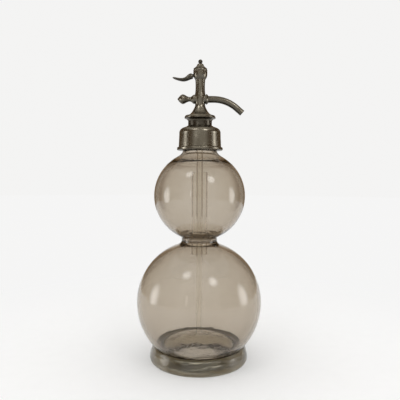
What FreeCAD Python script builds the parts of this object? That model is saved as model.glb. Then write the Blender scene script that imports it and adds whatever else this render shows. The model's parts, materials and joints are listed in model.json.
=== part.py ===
import FreeCAD, Part
import os
from math import asin, cos, pi, radians, sin, sqrt

# Soda siphon with a double-globe bottle and a lever tap. Millimetres.
# +Z is up, the origin is the middle of the foot's resting plane.
# The spout points to +X, and the lever and the finger knob point to -X.

# ---- glass bottle
lower_globe_radius = 85.2
lower_globe_rise = 83.3        # from the lower globe's widest plane up to its pole
lower_globe_drop = 86.0        # from the same plane down to its pole
lower_globe_z = 79.6
upper_globe_radius = 62.0
upper_globe_rise = 61.2
waist_radius = 24.4
waist_bore_radius = 16.6
waist_length = 8.63            # straight part between the globes
neck_radius = 22.2
neck_bore_radius = 17.8
neck_length = 22.56            # straight part over the upper globe
glass_wall = 4.6
heel_z = 13.5                  # where the lower globe turns in to its pushed-up base
punt_rise = 13.0               # height of the pushed-up base over the heel
lower_waist_fillet = 5.0
upper_waist_fillet = 3.0
shoulder_fillet = 12.0
heel_fillet = 3.0
lip_fillet = 0.8

# ---- foot ring, a collar of thick glass fused on under the lower globe
foot_widest_radius = 67.2
foot_widest_z = 3.6
foot_rest_outer_radius = 64.6
foot_rest_inner_radius = 49.0
foot_joint_radius = 61.8
foot_joint_z = 19.4
foot_inner_fillet = 2.0

# ---- wide inner tube, ground into the waist and standing open in the upper globe
sleeve_radius = 10.8
sleeve_bore_radius = 9.3
sleeve_over_upper_middle = 32.7
sleeve_below_waist = 15.4
ground_band_top_radius = 17.4
ground_band_bottom_radius = 16.7
ground_band_over_waist_foot = 0.6
ground_band_height = 8.0
sleeve_band_fillet = 1.5

# ---- threaded neck ring and the cement that holds it on the glass
cement_thickness = 0.9
neck_ring_depth = 18.0         # from the glass mouth down to the neck ring's underside
bead_radius = 31.0
bead_height = 4.2
thread_core_radius = 24.9
thread_depth = 0.9
thread_base_width = 1.7
thread_crest_width = 0.8
thread_root = 0.3              # how far a ridge's foot reaches into its wall
thread_pitch = 4.0
thread_turns = 2.5
thread_start_above_bead = 1.9
neck_ring_below_mouth = 0.8

# ---- collar nut
collar_lower_radius = 28.8
collar_upper_radius = 28.0
collar_wall_height = 18.0      # straight wall up to the shoulder
collar_shoulder_height = 10.4  # shoulder and lip over the straight wall

# ---- head stem: flange under the collar nut, neck through it
mouth_washer_thickness = 2.5
flange_radius = 25.4
flange_thickness = 3.0
flange_fillet = 0.6
stem_radius = 16.1
stem_length = 16.0             # from the flange's top to the tap body
spigot_radius = 12.5
spigot_length = 4.6
gland_bore_radius = 11.0
seal_bore_radius = 8.6
seal_length = 5.0
seal_below_stem_top = 2.5

# ---- dip tube
dip_tube_radius = 4.5
dip_tube_bore_radius = 2.8
dip_tube_over_floor = 3.9
dip_tube_above_seal = 1.8
tube_gland_length = 9.0
gland_notch_radius = 1.5       # two holes for a pin spanner

# ---- tap body, heights measured up from its underside
disk_radius = 21.0
disk_rim_height = 6.0
disk_edge_height = 2.4
bell_height = 15.2             # from the disk's rim up to the cross boss
spout_axis_height = 29.4
boss_radius = 7.6
boss_arm_radius = 6.2
boss_arm_chamfer = 0.4
knob_cone_start_reach = 3.0
knob_cone_in_boss = 1.2         # how much slimmer than the boss the cone starts
knob_root_radius = 3.5
boss_half_height = 8.0
column_radius = 6.3
column_narrowest_height = 18.0 # over the spout's axis
cup_floor_height = 56.2
cup_top_height = 66.3
cup_radius = 9.5
cup_lip = 0.5
cup_rim_height = 1.5
cup_taper_height = 8.6
column_bore_radius = 4.2
cup_bore_radius = 6.4

# ---- valve
chamber_radius = 5.0
seat_below_spout_axis = 10.4
seat_radius = 3.4
seat_bore_radius = 2.4
seat_length = 5.0
seat_lip = 0.5
rod_radius = 1.5
valve_plate_radius = 4.0
valve_plate_thickness = 1.6
valve_washer_thickness = 2.0
rod_tail_length = 2.6
water_way_radius = 3.0
packing_above_spout_axis = 8.1
packing_ring_height = 1.6
packing_ring_count = 2
packing_gland_height = 3.0
gland_slot_width = 1.0         # for a screwdriver, as deep as it is wide
spring_length = 10.9
spring_mean_radius = 3.2
spring_wire_radius = 0.45
spring_turns = 6.0
button_flange_radius = 3.8
button_flange_thickness = 1.1
button_radius = 2.4
button_height = 2.0

# ---- spout
spout_root_radius = 4.6
spout_tip_radius = 4.25
spout_bore_radius = 2.6
spout_socket_depth = 3.0
spout_straight_end_x = 18.3
spout_bend_radius = 47.4
spout_bend_degrees = 41.0
spout_last_length = 10.2
boss_arm_reach = 7.9
ferrule_length = 2.8
ferrule_rim_width = 1.0
ferrule_root_radius = 6.9
ferrule_end_radius = 5.4

# ---- finger knob
knob_cone_reach = 12.2
knob_tip_reach = 30.9
knob_widest_reach = 23.6
knob_widest_radius = 6.5
knob_stem_radius = 3.2
knob_thread_radius = 2.0
knob_thread_length = 5.6

# ---- lever
pivot_x = 3.8
pin_radius = 1.0
pin_end_inset = 1.6            # how far the pin's ends stay inside the cup's wall
pin_chamfer = 0.25
lever_eye_radius = 2.0
tongue_width = 3.6
tongue_over_pivot = 2.4
tongue_under_pivot = 1.6
nose_radius = 2.6
lever_travel_degrees = 18.0
horn_root_reach = 10.9
horn_length = 26.4
horn_drop = 4.9
horn_thickness = 7.8
horn_width = 8.0
# middle line of the horn from root to tip, as shares: along the length, height over the
# pivot as a share of the drop, thickness and width
horn_stations = [
    (0.00, 0.02, 0.94, 0.66),
    (0.10, -0.15, 1.00, 0.84),
    (0.25, -0.63, 0.81, 0.96),
    (0.40, -0.96, 0.67, 1.00),
    (0.57, -1.00, 0.55, 0.95),
    (0.75, -0.83, 0.45, 0.80),
    (0.90, -0.60, 0.35, 0.62),
    (1.00, -0.45, 0.15, 0.36),
]

# ---- tower cap and finial
cap_plug_length = 2.5
cap_washer_thickness = 0.5
cap_washer_radius = 8.9
cap_bead_height = 2.6
cap_cone_height = 7.2
cap_top_radius = 3.3
finial_ball_radius = 2.9
finial_neck_radius = 1.3
finial_neck_height = 0.2
finial_stud_length = 4.0

# ---- clearances
seam = 0.05                    # between pieces that are fitted together for good
running = 0.08                 # between the pin, the rod and the bores they move in
loose = 0.3                    # between moving pieces that don't guide each other
tappet = 0.1                   # between the lever's nose and the spring button
screw_depth_spare = 0.3        # left free at the end of a screwed-in stud



def pole_height(semi_radius, semi_height, radius):
    """Height over an ellipse's middle plane at the given radius."""
    return semi_height * sqrt(1 - (radius / semi_radius) ** 2)


# ---- heights that follow from the sizes above
waist_foot_z = lower_globe_z + pole_height(lower_globe_radius, lower_globe_rise, waist_radius)
waist_top_z = waist_foot_z + waist_length
upper_globe_z = waist_top_z + pole_height(upper_globe_radius, upper_globe_rise, waist_radius)
mouth_z = upper_globe_z + pole_height(upper_globe_radius, upper_globe_rise, neck_radius) + neck_length
floor_z = heel_z + glass_wall + punt_rise
sleeve_top_z = upper_globe_z + sleeve_over_upper_middle
sleeve_bottom_z = waist_foot_z - sleeve_below_waist
ground_band_bottom_z = waist_foot_z + ground_band_over_waist_foot
neck_ring_bottom_z = mouth_z - neck_ring_depth
dip_tube_bottom_z = floor_z + dip_tube_over_floor
collar_bottom_z = neck_ring_bottom_z + bead_height + loose
flange_bottom_z = mouth_z + mouth_washer_thickness
flange_top_z = flange_bottom_z + flange_thickness
tap_z = flange_top_z + stem_length
seal_top_z = tap_z - seal_below_stem_top
seal_bottom_z = seal_top_z - seal_length
spout_z = tap_z + spout_axis_height
seat_z = spout_z - seat_below_spout_axis
washer_top_z = seat_z - seat_lip
plate_top_z = washer_top_z - valve_washer_thickness
plate_bottom_z = plate_top_z - valve_plate_thickness
packing_z = spout_z + packing_above_spout_axis
packing_top_z = packing_z + packing_ring_height * packing_ring_count + seam * packing_ring_count
spring_bottom_z = packing_top_z + packing_gland_height
spring_top_z = spring_bottom_z + spring_length
button_top_z = spring_top_z + button_flange_thickness + button_height
pivot_z = button_top_z + tappet + nose_radius
cup_floor_z = tap_z + cup_floor_height
cup_top_z = tap_z + cup_top_height
cap_z = cup_top_z + cap_washer_thickness
cap_top_z = cap_z + cap_bead_height + cap_cone_height
thread_bore_radius = thread_core_radius + thread_depth + loose
neck_ring_bore_radius = neck_radius + cement_thickness

Z_AXIS = FreeCAD.Vector(0, 0, 1)
ORIGIN = FreeCAD.Vector(0, 0, 0)


# ---- helpers
def at(radius, z):
    """Point of a lathe profile."""
    return FreeCAD.Vector(radius, 0, z)


def line(start, end):
    return Part.makeLine(start, end)


def smooth(points):
    """Smooth curve through (radius, z) points."""
    curve = Part.BSplineCurve()
    curve.interpolate([at(radius, z) for radius, z in points])
    return curve.toShape()


def spin(edges, origin=ORIGIN, axis=Z_AXIS):
    """Closed profile turned once round an axis."""
    face = Part.Face(Part.Wire(Part.__sortEdges__(edges)))
    solid = face.revolve(origin, axis, 360)
    return Part.Solid(solid) if solid.ShapeType != "Solid" else solid


def lathe(points):
    """Body of revolution round Z with straight-sided profile points (radius, z)."""
    corners = [at(radius, z) for radius, z in points]
    return spin([line(a, b) for a, b in zip(corners, corners[1:] + corners[:1])])


def bar(radius, bottom, top):
    return Part.makeCylinder(radius, top - bottom, at(0, bottom))


def ring(inner, outer, bottom, top):
    return bar(outer, bottom, top).cut(bar(inner, bottom - 1, top + 1))


def bar_x(radius, start, end, z):
    """Cylinder along X at the height z."""
    return Part.makeCylinder(radius, end - start, FreeCAD.Vector(start, 0, z), FreeCAD.Vector(1, 0, 0))


def block(x_range, y_range, z_range):
    low, high = zip(x_range, y_range, z_range)
    size = [b - a for a, b in zip(low, high)]
    return Part.makeBox(*size, FreeCAD.Vector(*low))


def round_edges(shape, radius, matches):
    """Fillet the circles round Z for which matches(circle radius, z) is true."""
    chosen = []
    for edge in shape.Edges:
        if edge.Degenerated or not isinstance(edge.Curve, Part.Circle):
            continue
        if matches(edge.Curve.Radius, edge.Curve.Center.z):
            chosen.append(edge)
    return shape.makeFillet(radius, chosen)


def near(value, target):
    return abs(value - target) < 0.01


def export(name, shape):
    shape.exportStep("parts/" + name + ".step")


# ---- bottle
def ellipse_arc(middle_z, semi_radius, semi_height, z_start, z_end, middle_radius=0):
    """Quarter or less of an ellipse, right of its middle, between two heights."""
    middle = at(middle_radius, middle_z)
    side = at(middle_radius + semi_radius, middle_z)
    top = at(middle_radius, middle_z + semi_height)
    tall = semi_height > semi_radius
    ellipse = Part.Ellipse(top, side, middle) if tall else Part.Ellipse(side, top, middle)
    points = []
    for z in (z_start, z_end):
        share = (z - middle_z) / semi_height
        points.append(at(middle_radius + semi_radius * sqrt(1 - share ** 2), z))
    low, high = sorted(ellipse.parameter(point) for point in points)
    if high - low > pi:
        low, high = high, low + 2 * pi
    return Part.ArcOfEllipse(ellipse, low, high).toShape()


def vessel(inset, waist, neck, top_z):
    """Solid inside the bottle's skin moved in by inset, with its waist and neck radii."""
    low_r, low_up = lower_globe_radius - inset, lower_globe_rise - inset
    low_down = lower_globe_drop - inset
    up_r, up_rise = upper_globe_radius - inset, upper_globe_rise - inset
    heel = heel_z + inset
    heel_radius = low_r * sqrt(1 - ((lower_globe_z - heel) / low_down) ** 2)
    waist_low = lower_globe_z + pole_height(low_r, low_up, waist)
    waist_high = upper_globe_z - pole_height(up_r, up_rise, waist)
    neck_low = upper_globe_z + pole_height(up_r, up_rise, neck)
    punt_top = heel + punt_rise
    punt_middle = at(heel_radius * 0.55, heel + punt_rise * 0.75)
    edges = [
        Part.Arc(at(0, punt_top), punt_middle, at(heel_radius, heel)).toShape(),
        ellipse_arc(lower_globe_z, low_r, low_down, heel, lower_globe_z),
        ellipse_arc(lower_globe_z, low_r, low_up, lower_globe_z, waist_low),
        line(at(waist, waist_low), at(waist, waist_high)),
        ellipse_arc(upper_globe_z, up_r, up_rise, waist_high, upper_globe_z),
        ellipse_arc(upper_globe_z, up_r, up_rise, upper_globe_z, neck_low),
        line(at(neck, neck_low), at(neck, top_z)),
        line(at(neck, top_z), at(0, top_z)),
        line(at(0, top_z), at(0, punt_top)),
    ]
    solid = spin(edges)
    solid = round_edges(solid, lower_waist_fillet, lambda r, z: near(r, waist) and near(z, waist_low))
    solid = round_edges(solid, upper_waist_fillet, lambda r, z: near(r, waist) and near(z, waist_high))
    solid = round_edges(solid, shoulder_fillet, lambda r, z: near(r, neck) and near(z, neck_low))
    return round_edges(solid, heel_fillet, lambda r, z: near(r, heel_radius) and near(z, heel))


def ground_band(grow):
    """Tapered glass band of the wide tube, and the seat ground for it in the waist."""
    low, high = ground_band_bottom_z, ground_band_bottom_z + ground_band_height
    return lathe([
        (0, low), (ground_band_bottom_radius + grow, low),
        (ground_band_top_radius + grow, high), (0, high),
    ])


def in_quarters(turned, heights):
    """A hollow turned solid as touching quarter rings, parted at the heights."""
    turned.rotate(ORIGIN, Z_AXIS, 45)    # keeps the turned faces' seam off the parting planes
    reach = lower_globe_radius + 1
    quarters = []
    for low, high in zip(heights, heights[1:]):
        band = turned.common(block((-reach, reach), (-reach, reach), (low, high)))
        for x_range in ((-reach, 0), (0, reach)):
            for y_range in ((-reach, 0), (0, reach)):
                quarters += band.common(block(x_range, y_range, (low, high))).Solids
    return Part.Compound(quarters)


def glass_bottle():
    """One blown piece. Its solid is parted in quarters and bands, each of which bends only a little."""
    outside = vessel(0, waist_radius, neck_radius, mouth_z)
    outside = round_edges(outside, lip_fillet, lambda r, z: near(r, neck_radius) and near(z, mouth_z))
    inside = vessel(glass_wall, waist_bore_radius, neck_bore_radius, mouth_z + 1)
    blown = outside.cut(inside).cut(ground_band(seam))
    neck_foot_z = upper_globe_z + pole_height(upper_globe_radius, upper_globe_rise, neck_radius)
    return in_quarters(blown, [0, lower_globe_z, waist_foot_z, waist_top_z, upper_globe_z, neck_foot_z, mouth_z + 1])


def foot_ring():
    rest_edge = at(foot_rest_outer_radius, 0)
    widest = at(foot_widest_radius, foot_widest_z)
    joint = at(foot_joint_radius, foot_joint_z)
    inner_low = at(foot_rest_inner_radius, 0)
    inner_high = at(foot_rest_inner_radius, foot_joint_z)
    low_bulge = foot_widest_radius - foot_rest_outer_radius
    high_bulge = foot_widest_radius - foot_joint_radius
    rise = foot_joint_z - foot_widest_z
    bend = (high_bulge ** 2 + rise ** 2) / (2 * high_bulge)
    half_turn = asin(rise / bend) / 2
    middle_radius = foot_widest_radius - bend * (1 - cos(half_turn))
    upper_middle = at(middle_radius, foot_widest_z + bend * sin(half_turn))
    blank = spin([
        ellipse_arc(foot_widest_z, low_bulge, foot_widest_z, 0, foot_widest_z, foot_rest_outer_radius),
        Part.Arc(widest, upper_middle, joint).toShape(),
        line(joint, inner_high),
        line(inner_high, inner_low),
        line(inner_low, rest_edge),
    ])
    inner_edge = lambda r, z: near(r, foot_rest_inner_radius) and near(z, 0)
    blank = round_edges(blank, foot_inner_fillet, inner_edge)
    return blank.cut(vessel(-seam, waist_radius, neck_radius, mouth_z))


def sleeve_tube():
    tube = bar(sleeve_radius, sleeve_bottom_z, sleeve_top_z).fuse(ground_band(0))
    beside_band = lambda r, z: near(r, sleeve_radius) and sleeve_bottom_z + 1 < z < sleeve_top_z - 1
    tube = round_edges(tube, sleeve_band_fillet, beside_band)
    return tube.cut(bar(sleeve_bore_radius, sleeve_bottom_z - 1, sleeve_top_z + 1))


# ---- collar
def helical_ridge(wall_radius, outward, start_z):
    """Thread ridge on a wall, with a foot that reaches thread_root into it."""
    flank = (thread_base_width - thread_crest_width) / 2 / thread_depth
    root_half = thread_base_width / 2 + flank * thread_root
    crest_half = thread_crest_width / 2
    root = wall_radius - thread_root * outward
    crest = wall_radius + thread_depth * outward
    corners = [
        at(root, start_z - root_half),
        at(crest, start_z - crest_half),
        at(crest, start_z + crest_half),
        at(root, start_z + root_half),
    ]
    section = Part.makePolygon(corners + corners[:1])
    path = Part.makeHelix(thread_pitch, thread_pitch * thread_turns, root)
    path.translate(at(0, start_z))
    return Part.Wire(path).makePipeShell([section], True, True)


def collar_cement():
    bottom = neck_ring_bottom_z + bead_height
    top = mouth_z - neck_ring_below_mouth - 0.5
    return ring(neck_radius + seam, neck_ring_bore_radius - seam, bottom, top)


def neck_ring():
    bead_top = neck_ring_bottom_z + bead_height
    top = mouth_z - neck_ring_below_mouth
    bead = ring(neck_ring_bore_radius, bead_radius, neck_ring_bottom_z, bead_top)
    bead = round_edges(bead, bead_height * 0.3, lambda r, z: near(r, bead_radius))
    sleeve = ring(neck_ring_bore_radius, thread_core_radius, bead_top - 1, top)
    ridge = helical_ridge(thread_core_radius, 1, bead_top + thread_start_above_bead)
    return bead.fuse([sleeve, ridge]).removeSplitter()


def collar_nut():
    wall_top = collar_bottom_z + collar_wall_height
    top = wall_top + collar_shoulder_height
    hole = stem_radius + loose
    ceiling = flange_top_z + seam
    lip = hole + 0.9
    edges = [
        line(at(thread_bore_radius, collar_bottom_z), at(collar_lower_radius, collar_bottom_z)),
        line(at(collar_lower_radius, collar_bottom_z), at(collar_upper_radius, wall_top)),
        smooth([
            (collar_upper_radius, wall_top),
            (collar_upper_radius - 0.5, wall_top + collar_shoulder_height * 0.35),
            (collar_upper_radius - 3.0, wall_top + collar_shoulder_height * 0.65),
            (lip + 2.2, wall_top + collar_shoulder_height * 0.87),
            (lip, top),
        ]),
        line(at(lip, top), at(hole, top)),
        line(at(hole, top), at(hole, ceiling)),
        line(at(hole, ceiling), at(thread_bore_radius, ceiling)),
        line(at(thread_bore_radius, ceiling), at(thread_bore_radius, collar_bottom_z)),
    ]
    ridge_z = neck_ring_bottom_z + bead_height + thread_start_above_bead + thread_pitch / 2
    ridge = helical_ridge(thread_bore_radius, -1, ridge_z)
    return spin(edges).fuse(ridge).removeSplitter()


# ---- head, below the tap
def mouth_washer():
    return ring(neck_bore_radius, neck_radius, mouth_z, flange_bottom_z)


def head_stem():
    body = ring(gland_bore_radius, flange_radius, flange_bottom_z, flange_top_z)
    body = round_edges(body, flange_fillet, lambda r, z: near(r, flange_radius))
    neck = bar(stem_radius, flange_top_z - 1, tap_z)
    spigot = bar(spigot_radius, tap_z - 1, tap_z + spigot_length)
    body = body.fuse([neck, spigot])
    body = body.cut(bar(gland_bore_radius, flange_bottom_z - 1, seal_bottom_z))
    body = body.cut(bar(seal_bore_radius, seal_bottom_z - 1, seal_top_z))
    body = body.cut(bar(chamber_radius, seal_top_z - 1, tap_z + spigot_length + 1))
    return body.removeSplitter()


def tube_seal():
    return ring(dip_tube_radius + seam, seal_bore_radius - seam, seal_bottom_z, seal_top_z)


def tube_gland():
    top = seal_bottom_z
    bottom = top - tube_gland_length
    gland = ring(dip_tube_radius + loose, gland_bore_radius - seam, bottom, top)
    notch_reach = (dip_tube_radius + gland_bore_radius) / 2
    for side in (-1, 1):
        place = FreeCAD.Vector(0, side * notch_reach, bottom)
        gland = gland.cut(Part.makeCylinder(gland_notch_radius, 2 * gland_notch_radius, place))
    return gland


def dip_tube():
    top = seal_top_z + dip_tube_above_seal
    return ring(dip_tube_bore_radius, dip_tube_radius, dip_tube_bottom_z, top)


# ---- tap body
def tap_outline():
    """Outside of the turned tap body, from its underside to the rim of the cup."""
    rim_z = tap_z + disk_rim_height
    root = at(0, tap_z)
    foot = at(stem_radius, tap_z)
    edge_low = at(disk_radius, rim_z - disk_edge_height)
    edge_high = at(disk_radius, rim_z - disk_edge_height * 0.25)
    flare_start = at(disk_radius - disk_edge_height / 2, rim_z + disk_edge_height / 2)
    cup_low = at(column_radius + cup_lip, cup_floor_z - cup_lip)
    cup_high = at(cup_radius, cup_top_z - cup_rim_height)
    rim = at(cup_radius, cup_top_z)
    return [
        line(root, foot),
        smooth([
            (foot.x, foot.z),
            (stem_radius + (disk_radius - stem_radius) * 0.2, tap_z + (edge_low.z - tap_z) * 0.43),
            (edge_low.x, edge_low.z),
        ]),
        line(edge_low, edge_high),
        line(edge_high, flare_start),
        smooth([
            (flare_start.x, flare_start.z),
            (disk_radius * 0.617, rim_z + bell_height * 0.27),
            (disk_radius * 0.429, rim_z + bell_height * 0.63),
            (column_radius + cup_lip, rim_z + bell_height),
            (boss_radius, spout_z),
            (column_radius + cup_lip, spout_z + boss_half_height),
            (column_radius, spout_z + column_narrowest_height),
            (cup_low.x, cup_low.z),
        ]),
        smooth([
            (cup_low.x, cup_low.z),
            (cup_low.x + (cup_radius - cup_low.x) * 0.45, cup_floor_z + cup_taper_height * 0.14),
            (cup_low.x + (cup_radius - cup_low.x) * 0.86, cup_floor_z + cup_taper_height * 0.48),
            (cup_high.x, cup_high.z),
        ]),
        line(cup_high, rim),
        line(rim, at(0, cup_top_z)),
        line(at(0, cup_top_z), root),
    ]


def tap_bores():
    """Everything drilled out of the tap body along its axis, as one cutting tool."""
    return [
        bar(spigot_radius + seam, tap_z - 1, tap_z + spigot_length + seam),
        bar(chamber_radius, tap_z, seat_z),
        bar(seat_radius + seam, seat_z - 1, washer_top_z + seat_length),
        bar(seat_bore_radius, seat_z, packing_z),
        bar(column_bore_radius, packing_z, cup_floor_z),
        bar(cup_bore_radius, cup_floor_z, cup_top_z + 1),
    ]


def lever_slot():
    """Slot in the cup's -X wall, open far enough for the lever at the end of its travel."""
    swing = radians(lever_travel_degrees)
    reach = pivot_x + cup_radius
    bottom = pivot_z - tongue_under_pivot * cos(swing) - reach * sin(swing) - loose
    half = tongue_width / 2 + loose
    return block((-cup_radius - 1, 0), (-half, half), (bottom, pivot_z + tongue_over_pivot + loose))


def tap_body():
    body = spin(tap_outline())
    arm = bar_x(boss_arm_radius, 0, boss_arm_reach, spout_z)
    arm = arm.makeChamfer(boss_arm_chamfer, [edge for edge in arm.Edges if near(edge.CenterOfMass.x, boss_arm_reach)])
    flare_depth = knob_cone_reach - knob_cone_start_reach
    flare_start = boss_radius - knob_cone_in_boss
    flare_drop = flare_start - knob_root_radius
    side = Part.BSplineCurve()
    side.interpolate([
        FreeCAD.Vector(-knob_cone_start_reach - flare_depth * along, 0, spout_z + flare_start - flare_drop * fall)
        for along, fall in ((0, 0), (0.38, 0.05), (0.68, 0.2), (0.86, 0.66), (1, 1))
    ])
    inner_end = FreeCAD.Vector(-knob_cone_start_reach, 0, spout_z)
    outer_end = FreeCAD.Vector(-knob_cone_reach, 0, spout_z)
    outer_rim = outer_end + FreeCAD.Vector(0, 0, knob_root_radius)
    inner_rim = inner_end + FreeCAD.Vector(0, 0, flare_start)
    flare = spin([side.toShape(), line(outer_rim, outer_end), line(outer_end, inner_end), line(inner_end, inner_rim)],
                 inner_end, FreeCAD.Vector(1, 0, 0))
    body = body.fuse([arm, flare])
    for bore in tap_bores():
        body = body.cut(bore)
    socket_x = boss_arm_reach - spout_socket_depth
    body = body.cut(bar_x(spout_root_radius + seam, socket_x, boss_arm_reach + 1, spout_z))
    body = body.cut(bar_x(water_way_radius, 0, boss_arm_reach, spout_z))
    stud_hole_end = -knob_cone_reach + knob_thread_length + screw_depth_spare
    body = body.cut(bar_x(knob_thread_radius + seam, -knob_cone_reach - 1, stud_hole_end, spout_z))
    body = body.cut(lever_slot())
    pin_hole = Part.makeCylinder(pin_radius + seam, 4 * cup_radius,
                                 FreeCAD.Vector(pivot_x, -2 * cup_radius, pivot_z), FreeCAD.Vector(0, 1, 0))
    return body.cut(pin_hole).removeSplitter()


# ---- spout and knob
def spout_path():
    turn = radians(spout_bend_degrees)
    start = FreeCAD.Vector(boss_arm_reach - spout_socket_depth, 0, spout_z)
    bend_start = FreeCAD.Vector(spout_straight_end_x, 0, spout_z)

    def on_bend(angle):
        drop = spout_bend_radius * (1 - cos(angle))
        return bend_start + FreeCAD.Vector(spout_bend_radius * sin(angle), 0, -drop)

    bend_end = on_bend(turn)
    tip = bend_end + FreeCAD.Vector(cos(turn), 0, -sin(turn)) * spout_last_length
    edges = [
        line(start, bend_start),
        Part.Arc(bend_start, on_bend(turn / 2), bend_end).toShape(),
        line(bend_end, tip),
    ]
    return Part.Wire(edges), start, tip, FreeCAD.Vector(cos(turn), 0, -sin(turn))


def pipe_along(path, start, start_radius, tip, tip_radius, tip_direction):
    """Round pipe along the path, tapering from one radius to the other."""
    sweep = Part.BRepOffsetAPI.MakePipeShell(path)
    first = Part.Wire(Part.makeCircle(start_radius, start, FreeCAD.Vector(1, 0, 0)))
    last = Part.Wire(Part.makeCircle(tip_radius, tip, tip_direction))
    sweep.add(first)
    sweep.add(last)
    sweep.build()
    sweep.makeSolid()
    return sweep.shape()


def spout_tube():
    path, start, tip, direction = spout_path()
    outside = pipe_along(path, start, spout_root_radius, tip, spout_tip_radius, direction)
    inside = pipe_along(path, start, spout_bore_radius, tip, spout_bore_radius, direction)
    return outside.cut(inside)


def spout_ferrule():
    end = boss_arm_reach + ferrule_length
    rim_end = boss_arm_reach + ferrule_rim_width
    cone = Part.makeCone(ferrule_root_radius, ferrule_end_radius, end - rim_end,
                         FreeCAD.Vector(rim_end, 0, spout_z), FreeCAD.Vector(1, 0, 0))
    body = bar_x(ferrule_root_radius, boss_arm_reach, rim_end, spout_z).fuse(cone)
    return body.cut(bar_x(spout_root_radius + seam, boss_arm_reach - 1, end + 1, spout_z))


def finger_knob():
    def on_side(reach, radius):
        return FreeCAD.Vector(-reach, 0, spout_z + radius)

    side = Part.BSplineCurve()
    side.interpolate([
        on_side(knob_cone_reach, knob_root_radius),
        on_side(knob_cone_reach + 3.2, knob_stem_radius),
        on_side(knob_widest_reach - 4.4, (knob_widest_radius + knob_stem_radius) * 0.5),
        on_side(knob_widest_reach, knob_widest_radius),
        on_side((knob_widest_reach + knob_tip_reach) / 2 + 0.5, knob_widest_radius * 0.6),
        on_side(knob_tip_reach, 0),
    ])
    shoulder = on_side(knob_cone_reach, knob_root_radius)
    stud = on_side(knob_cone_reach, knob_thread_radius)
    stud_end = on_side(knob_cone_reach - knob_thread_length, knob_thread_radius)
    centre = on_side(knob_cone_reach - knob_thread_length, 0)
    edges = [
        side.toShape(),
        line(shoulder, stud),
        line(stud, stud_end),
        line(stud_end, centre),
        line(centre, on_side(knob_tip_reach, 0)),
    ]
    return spin(edges, on_side(0, 0), FreeCAD.Vector(1, 0, 0))


# ---- valve
def valve_seat():
    return ring(seat_bore_radius, seat_radius, washer_top_z, washer_top_z + seat_length - seam)


def valve_rod():
    shaft = bar(rod_radius, plate_bottom_z - rod_tail_length, spring_top_z + button_flange_thickness)
    plate = bar(valve_plate_radius, plate_bottom_z, plate_top_z)
    return shaft.fuse(plate).removeSplitter()


def valve_washer():
    return ring(rod_radius + seam, valve_plate_radius, plate_top_z, washer_top_z)


def rod_packing():
    rings = []
    for index in range(packing_ring_count):
        bottom = packing_z + seam + index * (packing_ring_height + seam)
        top = bottom + packing_ring_height
        rings.append(ring(rod_radius + running, column_bore_radius - seam, bottom, top))
    return Part.Compound(rings)


def packing_gland():
    body = ring(rod_radius + running, column_bore_radius - seam, packing_top_z, spring_bottom_z)
    half = gland_slot_width / 2
    slot_z = (spring_bottom_z - gland_slot_width, spring_bottom_z + 1)
    return body.cut(block((-column_bore_radius, column_bore_radius), (-half, half), slot_z))


def return_spring():
    height = spring_length - 2 * spring_wire_radius
    path = Part.makeHelix(height / spring_turns, height, spring_mean_radius)
    start = FreeCAD.Vector(spring_mean_radius, 0, 0)
    section = Part.Wire(Part.makeCircle(spring_wire_radius, start, FreeCAD.Vector(0, 1, 0)))
    coil = Part.Wire(path).makePipeShell([section], True, True)
    coil.translate(at(0, spring_bottom_z + spring_wire_radius))
    return coil


def spring_button():
    flange_top = spring_top_z + button_flange_thickness
    body = bar(button_flange_radius, spring_top_z, flange_top)
    body = body.fuse(bar(button_radius, spring_top_z, button_top_z))
    body = body.cut(bar(rod_radius + seam, spring_top_z - 1, flange_top + seam))
    return round_edges(body.removeSplitter(), 0.4, lambda r, z: near(z, button_top_z))


# ---- lever
def horn_section(centre, direction, thickness, width):
    """Oval across the horn's middle line."""
    across = FreeCAD.Vector(0, 1, 0)
    upward = direction.cross(across).normalize()
    steps = 16
    points = []
    for index in range(steps):
        angle = 2 * pi * index / steps
        points.append(centre + upward * (thickness / 2 * cos(angle)) + across * (width / 2 * sin(angle)))
    curve = Part.BSplineCurve()
    curve.interpolate(Points=points, PeriodicFlag=True)
    return Part.Wire(curve.toShape())


def lever_horn():
    middles = []
    for along, rise, _, _ in horn_stations:
        reach = horn_root_reach + along * horn_length
        middles.append(FreeCAD.Vector(-reach, 0, pivot_z + rise * horn_drop))
    sections = []
    for index, (_, _, thickness, width) in enumerate(horn_stations):
        before = middles[max(index - 1, 0)]
        after = middles[min(index + 1, len(middles) - 1)]
        direction = (after - before).normalize()
        size = (thickness * horn_thickness, width * horn_width)
        sections.append(horn_section(middles[index], direction, *size))
    return Part.makeLoft(sections, True)


def lever():
    width = (-tongue_width / 2, tongue_width / 2)
    root = horn_root_reach + horn_thickness * 0.16
    tongue = block((-root, pivot_x), width, (pivot_z - tongue_under_pivot, pivot_z + tongue_over_pivot))
    side = FreeCAD.Vector(0, 1, 0)
    eye = Part.makeCylinder(lever_eye_radius, tongue_width, FreeCAD.Vector(pivot_x, width[0], pivot_z), side)
    nose = Part.makeCylinder(nose_radius, tongue_width, FreeCAD.Vector(0, width[0], pivot_z), side)
    hole = Part.makeCylinder(pin_radius + running, 2 * tongue_width,
                             FreeCAD.Vector(pivot_x, 2 * width[0], pivot_z), side)
    body = tongue.fuse([eye, nose, lever_horn()])
    return body.cut(hole)


def lever_pin():
    half = sqrt(cup_radius ** 2 - pivot_x ** 2) - pin_end_inset
    start = FreeCAD.Vector(pivot_x, -half, pivot_z)
    pin = Part.makeCylinder(pin_radius, 2 * half, start, FreeCAD.Vector(0, 1, 0))
    return pin.makeChamfer(pin_chamfer, [edge for edge in pin.Edges if near(abs(edge.CenterOfMass.y), half)])


# ---- cap
def cap_washer():
    return ring(cup_bore_radius + seam, cap_washer_radius, cup_top_z, cap_z)


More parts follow.
